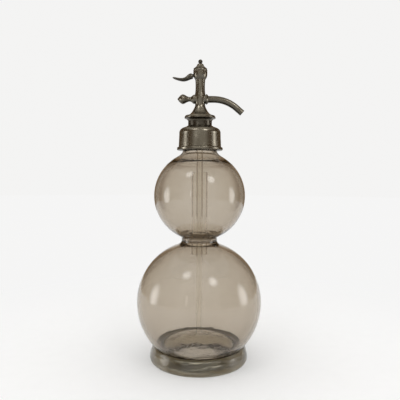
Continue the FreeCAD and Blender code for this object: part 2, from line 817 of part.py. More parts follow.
def tower_cap():
    bead_top = cap_z + cap_bead_height
    groove = cup_radius - 0.7
    plug = cup_bore_radius - seam
    edges = [
        line(at(0, cup_top_z - cap_plug_length), at(plug, cup_top_z - cap_plug_length)),
        line(at(plug, cup_top_z - cap_plug_length), at(plug, cap_z)),
        line(at(plug, cap_z), at(cup_radius - 0.4, cap_z)),
        smooth([(cup_radius - 0.4, cap_z), (cup_radius, cap_z + cap_bead_height / 2), (groove, bead_top)]),
        line(at(groove, bead_top), at(groove, bead_top + 0.5)),
        line(at(groove, bead_top + 0.5), at(cup_radius - 0.3, bead_top + 0.9)),
        smooth([
            (cup_radius - 0.3, bead_top + 0.9),
            (cup_radius * 0.73, bead_top + cap_cone_height * 0.35),
            (cup_radius * 0.58, bead_top + cap_cone_height * 0.54),
            (cup_radius * 0.485, bead_top + cap_cone_height * 0.75),
            (cap_top_radius + 0.8, cap_top_z - 0.6),
            (cap_top_radius, cap_top_z),
        ]),
        line(at(cap_top_radius, cap_top_z), at(0, cap_top_z)),
        line(at(0, cap_top_z), at(0, cup_top_z - cap_plug_length)),
    ]
    hole_bottom = cap_top_z - finial_stud_length - screw_depth_spare
    return spin(edges).cut(bar(finial_neck_radius + seam, hole_bottom, cap_top_z + 1))


def cap_finial():
    ball_z = cap_top_z + finial_neck_height + finial_ball_radius
    stud = bar(finial_neck_radius, cap_top_z - finial_stud_length, ball_z)
    return stud.fuse(Part.makeSphere(finial_ball_radius, at(0, ball_z))).removeSplitter()


PIECES = [
    glass_bottle, foot_ring, sleeve_tube, collar_cement, neck_ring, collar_nut, mouth_washer, head_stem,
    tube_seal, tube_gland, dip_tube, tap_body, spout_tube, spout_ferrule, finger_knob, valve_seat,
    valve_rod, valve_washer, rod_packing, packing_gland, return_spring, spring_button, lever, lever_pin,
    cap_washer, tower_cap, cap_finial,
]

os.makedirs("parts", exist_ok=True)
for piece in PIECES:
    export(piece.__name__, piece())
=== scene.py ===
"""Looks of the double-globe soda siphon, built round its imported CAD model.

Outlines of turned glass are in mm, and everything else is in m.
"""
import json
import math
from itertools import accumulate

import bmesh
import bpy
from mathutils import Matrix, Vector, noise


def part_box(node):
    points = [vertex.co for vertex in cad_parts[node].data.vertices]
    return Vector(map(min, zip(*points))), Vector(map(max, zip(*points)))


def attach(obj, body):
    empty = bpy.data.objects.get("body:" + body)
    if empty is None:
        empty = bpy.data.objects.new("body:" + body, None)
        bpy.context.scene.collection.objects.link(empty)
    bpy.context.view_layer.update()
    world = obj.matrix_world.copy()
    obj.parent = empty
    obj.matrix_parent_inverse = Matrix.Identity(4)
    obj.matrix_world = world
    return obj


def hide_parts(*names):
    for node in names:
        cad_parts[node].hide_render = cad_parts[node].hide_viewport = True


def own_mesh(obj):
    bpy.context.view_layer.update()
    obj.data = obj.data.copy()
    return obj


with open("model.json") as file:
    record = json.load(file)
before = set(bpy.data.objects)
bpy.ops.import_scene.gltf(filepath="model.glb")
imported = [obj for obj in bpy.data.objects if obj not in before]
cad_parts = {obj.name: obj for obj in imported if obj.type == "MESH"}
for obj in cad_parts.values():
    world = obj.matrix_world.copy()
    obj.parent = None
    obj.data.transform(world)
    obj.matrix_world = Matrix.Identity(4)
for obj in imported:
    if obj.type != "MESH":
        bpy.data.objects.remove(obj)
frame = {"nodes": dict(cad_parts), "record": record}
bpy.context.view_layer.update()
nodes = frame["nodes"]
scene = bpy.context.scene
MM = 0.001
UM = 0.000001


# ------------------------------------------------------------------ materials
class Paint:
    """A material and short ways to add nodes to it."""

    def __init__(self, name):
        self.material = bpy.data.materials.new(name)
        self.material.use_nodes = True
        self.tree = self.material.node_tree
        self.shader = self.tree.nodes["Principled BSDF"]
        self.place = self.node("ShaderNodeTexCoord").outputs["Object"]

    def put(self, socket, value):
        """Links an output into a socket, or sets a number, a vector or an opaque colour."""
        if hasattr(value, "is_output"):
            self.tree.links.new(value, socket)
        elif socket.type == "RGBA":
            socket.default_value = (*value, 1.0)
        else:
            socket.default_value = value

    def node(self, kind, inputs=None, **settings):
        """A new node with its settings, and its inputs by name or number."""
        made = self.tree.nodes.new(kind)
        for key, value in settings.items():
            setattr(made, key, value)
        for key, value in (inputs or {}).items():
            self.put(made.inputs[key], value)
        return made

    def output(self, shader, socket="Surface"):
        self.put(self.tree.nodes["Material Output"].inputs[socket], shader)

    def stretched(self, scale=None):
        """The place on the piece, scaled along its axes."""
        if scale is None:
            return self.place
        return self.node("ShaderNodeMapping", {"Vector": self.place, "Scale": scale}).outputs["Vector"]

    def axis(self, name, vector=None):
        """One part of the place on the piece, or of another vector."""
        return self.node("ShaderNodeSeparateXYZ", {0: vector or self.place}).outputs[name]

    def reach(self, stretch=None):
        """Distance from the piece's own origin."""
        made = self.node("ShaderNodeVectorMath", {0: self.stretched(stretch)}, operation="LENGTH")
        return made.outputs["Value"]

    def noise(self, scale, detail=3.0, rough=0.5, stretch=None, distortion=0.0):
        return self.node("ShaderNodeTexNoise", {
            "Vector": self.stretched(stretch), "Scale": scale, "Detail": detail,
            "Roughness": rough, "Distortion": distortion}).outputs["Fac"]

    def specks(self, scale):
        """Distance to the nearest of many scattered points."""
        made = self.node("ShaderNodeTexVoronoi", {"Vector": self.place, "Scale": scale})
        return made.outputs["Distance"]

    def remap(self, value, low, high, to_low=0.0, to_high=1.0):
        """Softly from to_low at low to to_high at high."""
        return self.node("ShaderNodeMapRange", {
            "Value": value, "From Min": low, "From Max": high, "To Min": to_low, "To Max": to_high,
        }, clamp=True, interpolation_type="SMOOTHSTEP").outputs["Result"]

    def math(self, operation, first, second=0.0):
        return self.node("ShaderNodeMath", {0: first, 1: second}, operation=operation).outputs[0]

    def mix(self, share, first, second):
        """Colour that goes from first to second with share."""
        return self.node("ShaderNodeMix", {0: share, 6: first, 7: second}, data_type="RGBA").outputs[2]

    def bump(self, height, distance, strength=1.0, under=None):
        """Normal for a relief on top of the relief under it."""
        made = self.node("ShaderNodeBump", {"Height": height, "Distance": distance, "Strength": strength})
        if under:
            self.put(made.inputs["Normal"], under)
        return made.outputs["Normal"]

    def hollows(self, distance):
        """1 on open faces, falling towards 0 in grooves and corners."""
        return self.node("ShaderNodeAmbientOcclusion", {"Distance": distance}, samples=16).outputs["AO"]

    def glow(self, color, strength=1.0):
        """Makes the material an even light."""
        self.output(self.node("ShaderNodeEmission", {"Color": color, "Strength": strength}).outputs[0])
        return self.material

    def finish(self, **sockets):
        for key, value in sockets.items():
            self.put(self.shader.inputs[key.replace("_", " ").title().replace("Ior", "IOR")], value)
        return self.material


CHILL_FADE = 12 * MM                    # height over which the marks of the tools die out
RIM_FROM, RIM_TO = 52 * MM, 58 * MM     # from the foot's inner faces to its outside
SEED_DEPTH = 160 * UM
COAT_DEPTH = 3.2 * MM                   # deep enough to break up what the gloss mirrors


def glass(name, light, dark, roughness, wave, ior=1.5, body=None, coat=0.0, chill=None, rim=None):
    """Hand-made glass with ripples as deep as wave, seeds and a film that varies in roughness.

    body is the tint that deepens with the thickness of the glass, and how fast. chill is how high,
    and how deep, the wavy marks of the tools go. rim is the share of film on the outside of the
    foot, and the colour of the faces inside that.
    """
    p = Paint(name)
    if body:
        tint, density = body
        depth_tint = p.node("ShaderNodeVolumeAbsorption", {"Color": tint, "Density": density})
        p.output(depth_tint.outputs[0], "Volume")
    drift = p.remap(p.noise(11.0, 3.0, 0.55), 0.35, 0.68)
    streaks = p.remap(p.noise(26.0, 2.0, 0.5, stretch=(1.0, 1.0, 0.22)), 0.45, 0.8)
    color = p.mix(drift, light, dark)
    color = p.mix(p.math("MULTIPLY", streaks, 0.25), color, dark)
    film = p.remap(p.noise(38.0, 6.0, 0.68, distortion=0.8), 0.5, 0.82, roughness, roughness + 0.07)
    ripple = p.bump(p.noise(34.0, 2.0, 0.4), wave)
    ripple = p.bump(p.noise(24.0, 3.0, 0.6, stretch=(0.5, 0.5, 4.0)), wave * 0.7, 1.0, ripple)
    if chill:
        top, depth = chill
        near_base = p.remap(p.axis("Z"), top, top + CHILL_FADE, 1.0, 0.0)
        marks = p.noise(58.0, 2.0, 0.5, stretch=(0.7, 0.7, 2.4), distortion=0.5)
        ripple = p.bump(p.math("MULTIPLY", marks, near_base), depth, 1.0, ripple)
    weight = 1.0
    if rim:
        share, inner_color = rim
        outside = p.remap(p.reach((1.0, 1.0, 0.0)), RIM_FROM, RIM_TO)
        color = p.mix(outside, inner_color, color)
        weight = p.math("SUBTRACT", 1.0, p.math("MULTIPLY", outside, share))
    seeds = p.remap(p.specks(150.0), 0.0, 0.085, 1.0, 0.0)
    normal = p.bump(seeds, SEED_DEPTH, 0.7, ripple)
    if coat:
        streaky = p.noise(30.0, 3.0, 0.6, stretch=(0.7, 0.7, 7.0), distortion=0.3)
        p.finish(coat_weight=coat, coat_roughness=0.04, coat_normal=p.bump(streaky, COAT_DEPTH))
    return p.finish(base_color=color, transmission_weight=weight, roughness=film, ior=ior, normal=normal)


def ground_glass():
    """Frosted glass of the band that was ground into the waist."""
    p = Paint("ground_band_glass")
    grain = p.noise(2400.0, 4.0, 0.7)
    rings = p.noise(900.0, 2.0, 0.5, stretch=(0.02, 0.02, 1.0))
    color = p.mix(p.remap(rings, 0.35, 0.65), (0.90, 0.885, 0.85), (0.97, 0.96, 0.94))
    rough = p.remap(grain, 0.3, 0.7, 0.16, 0.30)
    normal = p.bump(rings, 30 * UM, 0.8, p.bump(grain, 20 * UM, 0.8))
    return p.finish(base_color=color, transmission_weight=1.0, roughness=rough, ior=1.45, normal=normal)


def pewter(name, dark, mid, bright, rough_low, rough_high):
    """Old plated metal with blotches and random paler flecks, darker in the hollows and underneath: patina
    there, with painted shade on top of it.
    """
    p = Paint(name)
    blotches = p.remap(p.noise(70.0, 5.0, 0.58, distortion=0.5), 0.34, 0.68)
    fine = p.remap(p.noise(520.0, 3.0, 0.55), 0.35, 0.7)
    color = p.mix(blotches, dark, mid)
    color = p.mix(p.math("MULTIPLY", fine, 0.12), color, bright)
    # painted shade: faces that look down and the hollows darken towards a grime colour, which also stands
    # for the patina in the hollows
    facing = p.node("ShaderNodeTexCoord").outputs["Normal"]
    underside_painted_shade = p.remap(p.axis("Z", facing), -0.65, 0.30, 0.16, 1.0)
    recess_patina_and_shade = p.remap(p.hollows(6 * MM), 0.30, 0.80, 0.14, 1.0)
    grime_and_painted_shade = tuple(0.30 * part for part in dark)
    color = p.mix(p.math("MULTIPLY", underside_painted_shade, recess_patina_and_shade), grime_and_painted_shade, color)
    turned_lines = p.noise(3600.0, 2.0, 0.6, stretch=(0.03, 0.03, 1.0))
    scratches = p.remap(p.noise(900.0, 3.0, 0.7, stretch=(0.16, 1.0, 0.35)), 0.57, 0.7)
    pits = p.remap(p.specks(800.0), 0.02, 0.16, 1.0, 0.0)
    dents = p.noise(110.0, 2.0, 0.5)
    rough = p.math("ADD", p.remap(blotches, 0.0, 1.0, rough_high, rough_low),
                   p.math("MULTIPLY", scratches, 0.07))
    normal = p.bump(dents, 50 * UM, 0.7)
    normal = p.bump(turned_lines, 3 * UM, 0.5, normal)
    normal = p.bump(scratches, 4 * UM, 0.4, normal)
    normal = p.bump(pits, 4 * UM, 0.5, normal)
    return p.finish(base_color=color, metallic=1.0, roughness=rough, normal=normal)


def metal(name, dark, bright, roughness, scale):
    """Turned or drawn metal with blotches of the scale."""
    p = Paint(name)
    share = p.remap(p.noise(scale, 5.0, 0.6), 0.35, 0.68)
    rough = p.remap(p.noise(scale * 3.0, 3.0, 0.5), 0.3, 0.7, roughness, roughness + 0.16)
    normal = p.bump(p.noise(2600.0, 2.0, 0.6, stretch=(0.05, 0.05, 1.0)), 10 * UM, 0.8)
    return p.finish(base_color=p.mix(share, dark, bright), metallic=1.0, roughness=rough, normal=normal)


def soft_solid(name, dark, bright, roughness, scale, grain):
    """Cement, rubber or leather with blotches of the scale and a grain of that depth."""
    p = Paint(name)
    share = p.remap(p.noise(scale, 6.0, 0.65), 0.32, 0.7)
    rough = p.remap(p.noise(scale * 2.0, 3.0, 0.5), 0.3, 0.7, roughness - 0.08, roughness + 0.08)
    normal = p.bump(p.noise(scale * 7.0, 4.0, 0.65), grain)
    return p.finish(base_color=p.mix(share, dark, bright), roughness=rough, normal=normal)


MATERIALS = {
    "bottle_glass": glass("bottle_glass", (0.985, 0.973, 0.95), (0.95, 0.93, 0.893), 0.004, 180 * UM,
                          body=((0.62, 0.55, 0.45), 166.0), chill=(30 * MM, 0.7 * MM)),
    "foot_glass": glass("foot_glass", (0.62, 0.55, 0.385), (0.50, 0.435, 0.285), 0.28, 300 * UM,
                        body=((0.70, 0.64, 0.48), 20.0), coat=0.6, chill=(30 * MM, 2.6 * MM),
                        rim=(0.02, (0.95, 0.94, 0.90))),
    # thin drawn glass: the low index keeps the tubes as faint as they look inside the bottle
    "tube_glass": glass("tube_glass", (0.97, 0.965, 0.95), (0.95, 0.94, 0.92), 0.004, 20 * UM, ior=1.16),
    "cement": soft_solid("cement", (0.25, 0.165, 0.095), (0.47, 0.38, 0.27), 0.85, 260.0, 100 * UM),
    "pewter": pewter("pewter", (0.22, 0.197, 0.155), (0.32, 0.295, 0.242), (0.45, 0.42, 0.36), 0.25, 0.34),
    "brass": metal("brass", (0.42, 0.30, 0.13), (0.72, 0.55, 0.28), 0.24, 240.0),
    "rubber": soft_solid("rubber", (0.045, 0.042, 0.04), (0.12, 0.11, 0.10), 0.62, 420.0, 40 * UM),
    "spring_steel": metal("spring_steel", (0.36, 0.35, 0.33), (0.62, 0.61, 0.59), 0.2, 500.0),
    "leather": soft_solid("leather", (0.10, 0.065, 0.04), (0.22, 0.15, 0.09), 0.6, 520.0, 60 * UM),
}
# pewter nodes darker than the rest: tarnished more on the lever, the finial and the spout, and painted shade
# on the stem under the disk
TARNISH_AND_SHADE = pewter("pewter_tarnished_and_shaded", (0.085, 0.075, 0.06), (0.15, 0.137, 0.113), (0.30, 0.28, 0.24),
                   0.25, 0.36)
DULL = pewter("pewter_dull", (0.155, 0.139, 0.108), (0.24, 0.22, 0.178), (0.37, 0.342, 0.29), 0.27, 0.36)
DARKER = {"lever": TARNISH_AND_SHADE, "cap_finial": TARNISH_AND_SHADE, "head_stem": TARNISH_AND_SHADE,
          "spout_tube": DULL, "spout_ferrule": DULL}
for row in frame["record"]["subparts"]:
    node = nodes[row["node"]]
    node.data.materials.clear()
    node.data.materials.append(DARKER.get(row["node"], MATERIALS[row["material_slot"]]))


# ------------------------------------------------------------------ outlines, as (radius, height) in mm
def arc(middle, semi, start, end, count):
    """Points of an ellipse with its axes along r and z, between two angles in degrees."""
    angles = [math.radians(start + (end - start) * i / (count - 1)) for i in range(count)]
    return [(middle[0] + semi[0] * math.cos(a), middle[1] + semi[1] * math.sin(a)) for a in angles]


def run(start, end, step=2.5):
    """Points of a straight line, about a step apart."""
    count = max(2, int(math.dist(start, end) / step) + 1)
    return [tuple(a + (b - a) * i / (count - 1) for a, b in zip(start, end)) for i in range(count)]


def length_along(points):
    return [0.0, *accumulate(math.dist(a, b) for a, b in zip(points, points[1:]))]


def trimmed(points, cut):
    """The points without the last cut of their length."""
    total = length_along(points)
    keep = total[-1] - cut
    kept = [point for point, length in zip(points, total) if length < keep - 1e-6]
    index = len(kept)
    share = (keep - total[index - 1]) / (total[index] - total[index - 1])
    return kept + [tuple(a + (b - a) * share for a, b in zip(points[index - 1], points[index]))]


def joined(curves, radii, count=9):
    """One line from curves that meet end to start, each corner rounded to its radius."""
    line = list(curves[0])
    for curve, radius in zip(curves[1:], radii):
        if not radius:
            line += curve[1:]
            continue
        before = Vector(line[-1]) - Vector(line[-2])
        after = Vector(curve[1]) - Vector(curve[0])
        turn = before.angle(after)
        setback = min(radius * math.tan(turn / 2), 0.9 * length_along(line)[-1],
                      0.9 * length_along(curve)[-1])
        line = trimmed(line, setback)
        rest = trimmed(list(reversed(curve)), setback)[::-1]
        # a cubic curve from a to d that pulls towards b and c comes close to a round corner
        a, d = Vector(line[-1]), Vector(rest[0])
        pull = 4 / 3 * math.tan(turn / 4) * radius
        b = a + (a - Vector(line[-2])).normalized() * pull
        c = d - (Vector(rest[1]) - d).normalized() * pull
        for i in range(1, count):
            t = i / count
            point = a * (1 - t) ** 3 + b * 3 * t * (1 - t) ** 2 + c * 3 * t * t * (1 - t) + d * t ** 3
            line.append(tuple(point))
        line += rest
    return line


def circle_through(a, b, c):
    """Middle and radius of the circle through three points."""
    det = 2 * (a[0] * (b[1] - c[1]) + b[0] * (c[1] - a[1]) + c[0] * (a[1] - b[1]))
    squares = [point[0] ** 2 + point[1] ** 2 for point in (a, b, c)]
    mid_r = (squares[0] * (b[1] - c[1]) + squares[1] * (c[1] - a[1]) + squares[2] * (a[1] - b[1])) / det
    mid_z = (squares[0] * (c[0] - b[0]) + squares[1] * (a[0] - c[0]) + squares[2] * (b[0] - a[0])) / det
    return (mid_r, mid_z), math.dist((mid_r, mid_z), a)


# ------------------------------------------------------------------ pieces from mesh code
GLASS_SIDES, SLEEVE_SIDES, TUBE_SIDES = 180, 128, 96     # vertices round each turned piece
SMOOTH_ANGLE = math.radians(38)                          # edges that turn more stay crisp


def finished(name, mesh, body, slot):
    """Turns mesh code into a piece that rides on a body, in its slot's material."""
    data = bpy.data.meshes.new(name)
    for face in mesh.faces:
        face.smooth = True
    for edge in mesh.edges:
        if len(edge.link_faces) == 2 and edge.calc_face_angle(0) > SMOOTH_ANGLE:
            edge.smooth = False
    mesh.to_mesh(data)
    mesh.free()
    data.materials.append(MATERIALS[slot])
    piece = bpy.data.objects.new(name, data)
    scene.collection.objects.link(piece)
    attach(piece, body)
    return piece


def turned(name, outline, body, slot, closed=False, wobble=None, sides=GLASS_SIDES):
    """Solid of revolution round Z from an outline. wobble(x, y, z, r) moves a point's radius."""
    mesh = bmesh.new()
    rings = []
    for radius, z in outline:
        if radius < 1e-6:
            rings.append([mesh.verts.new((0, 0, z * MM))])
            continue
        ring = []
        for i in range(sides):
            angle = 2 * math.pi * i / sides
            x, y = math.cos(angle), math.sin(angle)
            r = radius + (wobble(x * radius, y * radius, z, radius) if wobble else 0.0)
            ring.append(mesh.verts.new((x * r * MM, y * r * MM, z * MM)))
        rings.append(ring)
    following = rings[1:] + (rings[:1] if closed else [])
    for low, high in zip(rings, following):
        for i in range(sides):
            j = (i + 1) % sides
            corners = [low[i % len(low)], low[j % len(low)], high[j % len(high)], high[i % len(high)]]
            corners = [vert for k, vert in enumerate(corners) if vert not in corners[:k]]
            if len(corners) > 2:
                mesh.faces.new(corners)
    bmesh.ops.recalc_face_normals(mesh, faces=mesh.faces)
    return finished(name, mesh, body, slot)


def rise_at(semi_r, semi_z, r):
    """How high an ellipse stands over its middle at radius r."""
    return semi_z * math.sqrt(1 - (r / semi_r) ** 2)


# ------------------------------------------------------------------ bottle
LOW_R, LOW_Z = 85.2, 79.6               # lower globe's widest ring
LOW_RISE, LOW_DROP = 83.3, 86.0         # half heights of the globe above and below that ring
HIGH_R, HIGH_RISE = 62.0, 61.2          # upper globe
WAIST_R, WAIST_BORE, WAIST_LENGTH = 24.4, 16.6, 8.63
NECK_R, NECK_BORE, NECK_LENGTH = 22.2, 17.8, 22.56
WALL = 4.6
HEEL_Z, PUNT = 13.5, 13.0               # the base's edge, and how far its middle is pushed up
HEEL_FILLET, NECK_FILLET = 3.0, 12.0
WAIST_FILLET_LOW, WAIST_FILLET_HIGH = 5.0, 3.0
LIP = 0.8                               # rounding of the mouth's outer edge
GATHER = 20.0                           # how far from the waist or the neck the glass gets thicker

WAIST_Z = LOW_Z + rise_at(LOW_R, LOW_RISE, WAIST_R)
WAIST_TOP = WAIST_Z + WAIST_LENGTH
HIGH_Z = WAIST_TOP + rise_at(HIGH_R, HIGH_RISE, WAIST_R)
MOUTH_Z = HIGH_Z + rise_at(HIGH_R, HIGH_RISE, NECK_R) + NECK_LENGTH


def skin(inset, waist, neck, top, heel_fillet=HEEL_FILLET, neck_fillet=NECK_FILLET, thick=(0.0, 0.0, 0.0)):
    """Outline of the bottle's skin moved in by inset, from its base's middle up to the mouth.

    thick is how much deeper the glass gets towards the waist, from below and above, and the neck.
    """
    def gathered(points, edge, amount):
        return [(r, z + amount * math.exp(-((r - edge) / GATHER) ** 2)) for r, z in points]

    below_waist, above_waist, below_neck = thick
    low_r, low_rise, low_drop = LOW_R - inset, LOW_RISE - inset, LOW_DROP - inset
    high = (HIGH_R - inset, HIGH_RISE - inset)
    heel = HEEL_Z + inset
    heel_angle = -math.degrees(math.asin((LOW_Z - heel) / low_drop))
    heel_r = low_r * math.cos(math.radians(heel_angle))
    angle_low = math.degrees(math.acos(waist / low_r))
    angle_up = -math.degrees(math.acos(waist / high[0]))
    angle_neck = math.degrees(math.acos(neck / high[0]))
    waist_low = LOW_Z + rise_at(low_r, low_rise, waist) - below_waist
    waist_high = HIGH_Z - rise_at(*high, waist) + above_waist
    neck_low = HIGH_Z + rise_at(*high, neck) - below_neck
    # the pushed-up base is an arc through its top, a point on its slope and the heel
    base = [(0.0, heel + PUNT), (heel_r * 0.55, heel + PUNT * 0.75), (heel_r, heel)]
    middle, radius = circle_through(*base)
    first, last = (math.degrees(math.atan2(z - middle[1], r - middle[0])) for r, z in (base[0], base[2]))
    curves = [
        arc(middle, (radius, radius), first, last, 36),
        arc((0, LOW_Z), (low_r, low_drop), heel_angle, 0, 44),
        gathered(arc((0, LOW_Z), (low_r, low_rise), 0, angle_low, 60), waist, -below_waist),
        run((waist, waist_low), (waist, waist_high), 1.0),
        gathered(arc((0, HIGH_Z), high, angle_up, 0, 46), waist, above_waist),
        gathered(arc((0, HIGH_Z), high, 0, angle_neck, 46), neck, -below_neck),
        run((neck, neck_low), (neck, top), 1.5),
    ]
    curves[0][0] = base[0]
    return joined(curves, [heel_fillet, 0, WAIST_FILLET_LOW, WAIST_FILLET_HIGH, 0, neck_fillet])


TRUE_WITHIN = 20.0                      # radius that takes in the bores and the base's middle
METAL_LOW = MOUTH_Z - 20.0              # from here up the neck is hidden in the metal


def hand_blown(x, y, z, r):
    """Small unevenness of blown glass, always inwards, in mm."""
    if r < TRUE_WITHIN:
        return 0.0
    if z >= METAL_LOW:
        return -0.02
    slow = noise.noise(Vector((x, y, z)) * 0.021 + Vector((3.1, 0, 0)))
    fast = noise.noise(Vector((x, y, z * 0.6)) * 0.075)
    return -(0.5 + 0.5 * slow) * 0.22 - (0.5 + 0.5 * fast) * 0.05


# the waist's bore has a ground taper, which the wide tube's band sits in
BAND_LOW, BAND_HIGH = WAIST_Z + 0.6, WAIST_Z + 8.6
BAND_R_LOW, BAND_R_HIGH = 16.70, 17.4
BAND_FIT = 0.05

outer = skin(0.0, WAIST_R, NECK_R, MOUTH_Z - LIP)
lip = [(NECK_R - LIP + LIP * math.cos(a), MOUTH_Z - LIP + LIP * math.sin(a))
       for a in (0.4, 0.8, 1.2, math.pi / 2)]
inner = skin(WALL, WAIST_BORE, NECK_BORE, MOUTH_Z, heel_fillet=9.0, neck_fillet=22.0, thick=(0.5, 0.8, 2.7))
taper = [
    (WAIST_BORE, BAND_LOW),
    *run((BAND_R_LOW + BAND_FIT, BAND_LOW), (BAND_R_HIGH + BAND_FIT, BAND_HIGH), 1.0),
    (17.15, BAND_HIGH + BAND_FIT),
]
inner = ([point for point in inner if point[1] < BAND_LOW - 0.3] + taper
         + [point for point in inner if point[1] > BAND_HIGH + 0.3])
bottle = turned("glass_bottle_blown", outer + lip + inner[::-1], "bottle", "bottle_glass", wobble=hand_blown)
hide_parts("glass_bottle")

# ------------------------------------------------------------------ foot
# the ring of thick glass, with its top following the globe it is fused to
FOOT_R, FOOT_Z = 67.2, 3.6              # its widest ring
REST_OUT, REST_IN = 64.6, 49.0          # the face it rests on
JOINT_R, JOINT_Z = 61.8, 19.4           # where its outside meets the globe
FUSED = 0.15                            # it reaches into the globe, so that light goes straight through
bulge, rise = FOOT_R - JOINT_R, JOINT_Z - FOOT_Z
bend = (bulge ** 2 + rise ** 2) / (2 * bulge)
top_angle = math.degrees(math.asin(rise / bend))
contact = [(r - FUSED * 0.6, z + FUSED) for r, z in outer if z < 40 and REST_IN + 1.0 < r < JOINT_R - 0.8]
inside_top = contact[0][1]
foot_line = joined([
    arc((REST_OUT, FOOT_Z), (FOOT_R - REST_OUT, FOOT_Z), -90, 0, 18),
    arc((FOOT_R - bend, FOOT_Z), (bend, bend), 0, top_angle, 14),
    [(JOINT_R, JOINT_Z), *reversed(contact), (REST_IN, inside_top)],
    run((REST_IN, inside_top), (REST_IN, 0), 1.5),
    run((REST_IN, 0), (REST_OUT, 0), 1.5),
], [0, 0.5, 0.4, 2.0])


def foot_wobble(x, y, z, r):
    """Tool marks round the foot and its slight unevenness, in mm. The resting face stays flat."""
    if r < REST_IN + 2 or z < 0.3:
        return 0.0
    slow = noise.noise(Vector((x, y, z * 2)) * 0.06)
    fast = noise.noise(Vector((x * 0.5, y * 0.5, z * 2.6)) * 0.16)
    return -0.22 + 0.14 * slow + 0.16 * fast


foot = turned("foot_ring_glass", foot_line[:-1], "bottle", "foot_glass", closed=True, wobble=foot_wobble)
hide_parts("foot_ring")

# ------------------------------------------------------------------ glass tubes
END = 0.6                               # half height of a tube's rounded end


def tube_end(radius, bore, z, first, last):
    """Rounded end of a tube, between two angles in degrees."""
    return arc(((radius + bore) / 2, z), ((radius - bore) / 2, END), first, last, 7)


# wide tube, ground into the waist and open in the upper globe
SLEEVE_R, SLEEVE_BORE = 10.8, 9.3
SLEEVE_LOW, SLEEVE_HIGH = WAIST_Z - 15.4, HIGH_Z + 32.7
sleeve_line = [
    *run((SLEEVE_BORE, SLEEVE_LOW + 0.5), (SLEEVE_BORE, SLEEVE_HIGH - 0.5)),
    *tube_end(SLEEVE_R, SLEEVE_BORE, SLEEVE_HIGH - END, 180, 0),
    *run((SLEEVE_R, SLEEVE_HIGH - 0.9), (SLEEVE_R, BAND_HIGH + 1.6)),
    (SLEEVE_R + 0.5, BAND_HIGH + 0.45), (SLEEVE_R + 1.6, BAND_HIGH), (BAND_R_HIGH - 0.5, BAND_HIGH),
    *run((17.37, BAND_HIGH - 0.5), (BAND_R_LOW, BAND_LOW + 0.4), 1.0),
    (BAND_R_LOW - 0.4, BAND_LOW), (SLEEVE_R + 1.6, BAND_LOW), (SLEEVE_R + 0.5, BAND_LOW - 0.45),
    *run((SLEEVE_R, BAND_LOW - 1.6), (SLEEVE_R, SLEEVE_LOW + 0.9)),
    *tube_end(SLEEVE_R, SLEEVE_BORE, SLEEVE_LOW + END, 0, -180),
]
sleeve = turned("sleeve_tube_drawn", sleeve_line, "bottle", "tube_glass", closed=True, sides=SLEEVE_SIDES)
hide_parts("sleeve_tube")
sleeve.data.materials.append(ground_glass())
for face in sleeve.data.polygons:
    if math.hypot(face.center.x, face.center.y) > 16.0 * MM:
        face.material_index = 1

# thin dip tube, which lifts with the head
TUBE_R, TUBE_BORE = 4.5, 2.8
TUBE_LOW, TUBE_HIGH = HEEL_Z + WALL + PUNT + 3.9, MOUTH_Z + 20.8
tube_line = [
    *run((TUBE_BORE, TUBE_LOW + 0.5), (TUBE_BORE, TUBE_HIGH - 0.5), 4.0),
    *tube_end(TUBE_R, TUBE_BORE, TUBE_HIGH - END, 180, 0),
    *run((TUBE_R, TUBE_HIGH - 0.9), (TUBE_R, TUBE_LOW + 0.9), 4.0),
    *tube_end(TUBE_R, TUBE_BORE, TUBE_LOW + END, 0, -180),
]
tube = turned("dip_tube_drawn", tube_line, "head", "tube_glass", closed=True, sides=TUBE_SIDES)
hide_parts("dip_tube")

# ------------------------------------------------------------------ return spring
SPRING_R, SPRING_WIRE, SPRING_TURNS = 3.2 * MM, 0.45 * MM, 6.0
STEPS_A_TURN, WIRE_SIDES = 40, 14


def wound(name, radius, wire, turns, low, high, body, slot):
    """Round wire wound into a coil round Z between two heights."""
    mesh = bmesh.new()
    steps = int(turns * STEPS_A_TURN)
    climb = (high - low - 2 * wire) / steps
    around = [2 * math.pi * k / WIRE_SIDES for k in range(WIRE_SIDES)]
    rings = []
    for i in range(steps + 1):
        angle = 2 * math.pi * turns * i / steps
        out = Vector((math.cos(angle), math.sin(angle), 0))
        along = Vector((-out.y, out.x, climb / (2 * math.pi * turns / steps * radius))).normalized()
        across = along.cross(out)
        middle = out * radius + Vector((0, 0, low + wire + climb * i))
        rings.append([mesh.verts.new(middle + (out * math.cos(a) + across * math.sin(a)) * wire)
                      for a in around])
    for first, second in zip(rings, rings[1:]):
        for k in range(WIRE_SIDES):
            j = (k + 1) % WIRE_SIDES
            mesh.faces.new([first[k], first[j], second[j], second[k]])
    mesh.faces.new(rings[0])
    mesh.faces.new(rings[-1])
    bmesh.ops.recalc_face_normals(mesh, faces=mesh.faces)
    return finished(name, mesh, body, slot)


spring_low, spring_high = (corner[2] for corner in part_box("return_spring"))
spring = wound("return_spring_wound", SPRING_R, SPRING_WIRE, SPRING_TURNS, spring_low, spring_high,
               "head", "spring_steel")
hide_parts("return_spring")
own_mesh(spring)

# ------------------------------------------------------------------ floor and world
WHITE, DIM, DARK = (0.905, 0.902, 0.895), (0.50, 0.47, 0.42), (0.150, 0.106, 0.064)
AMBER = (0.20, 0.118, 0.048)


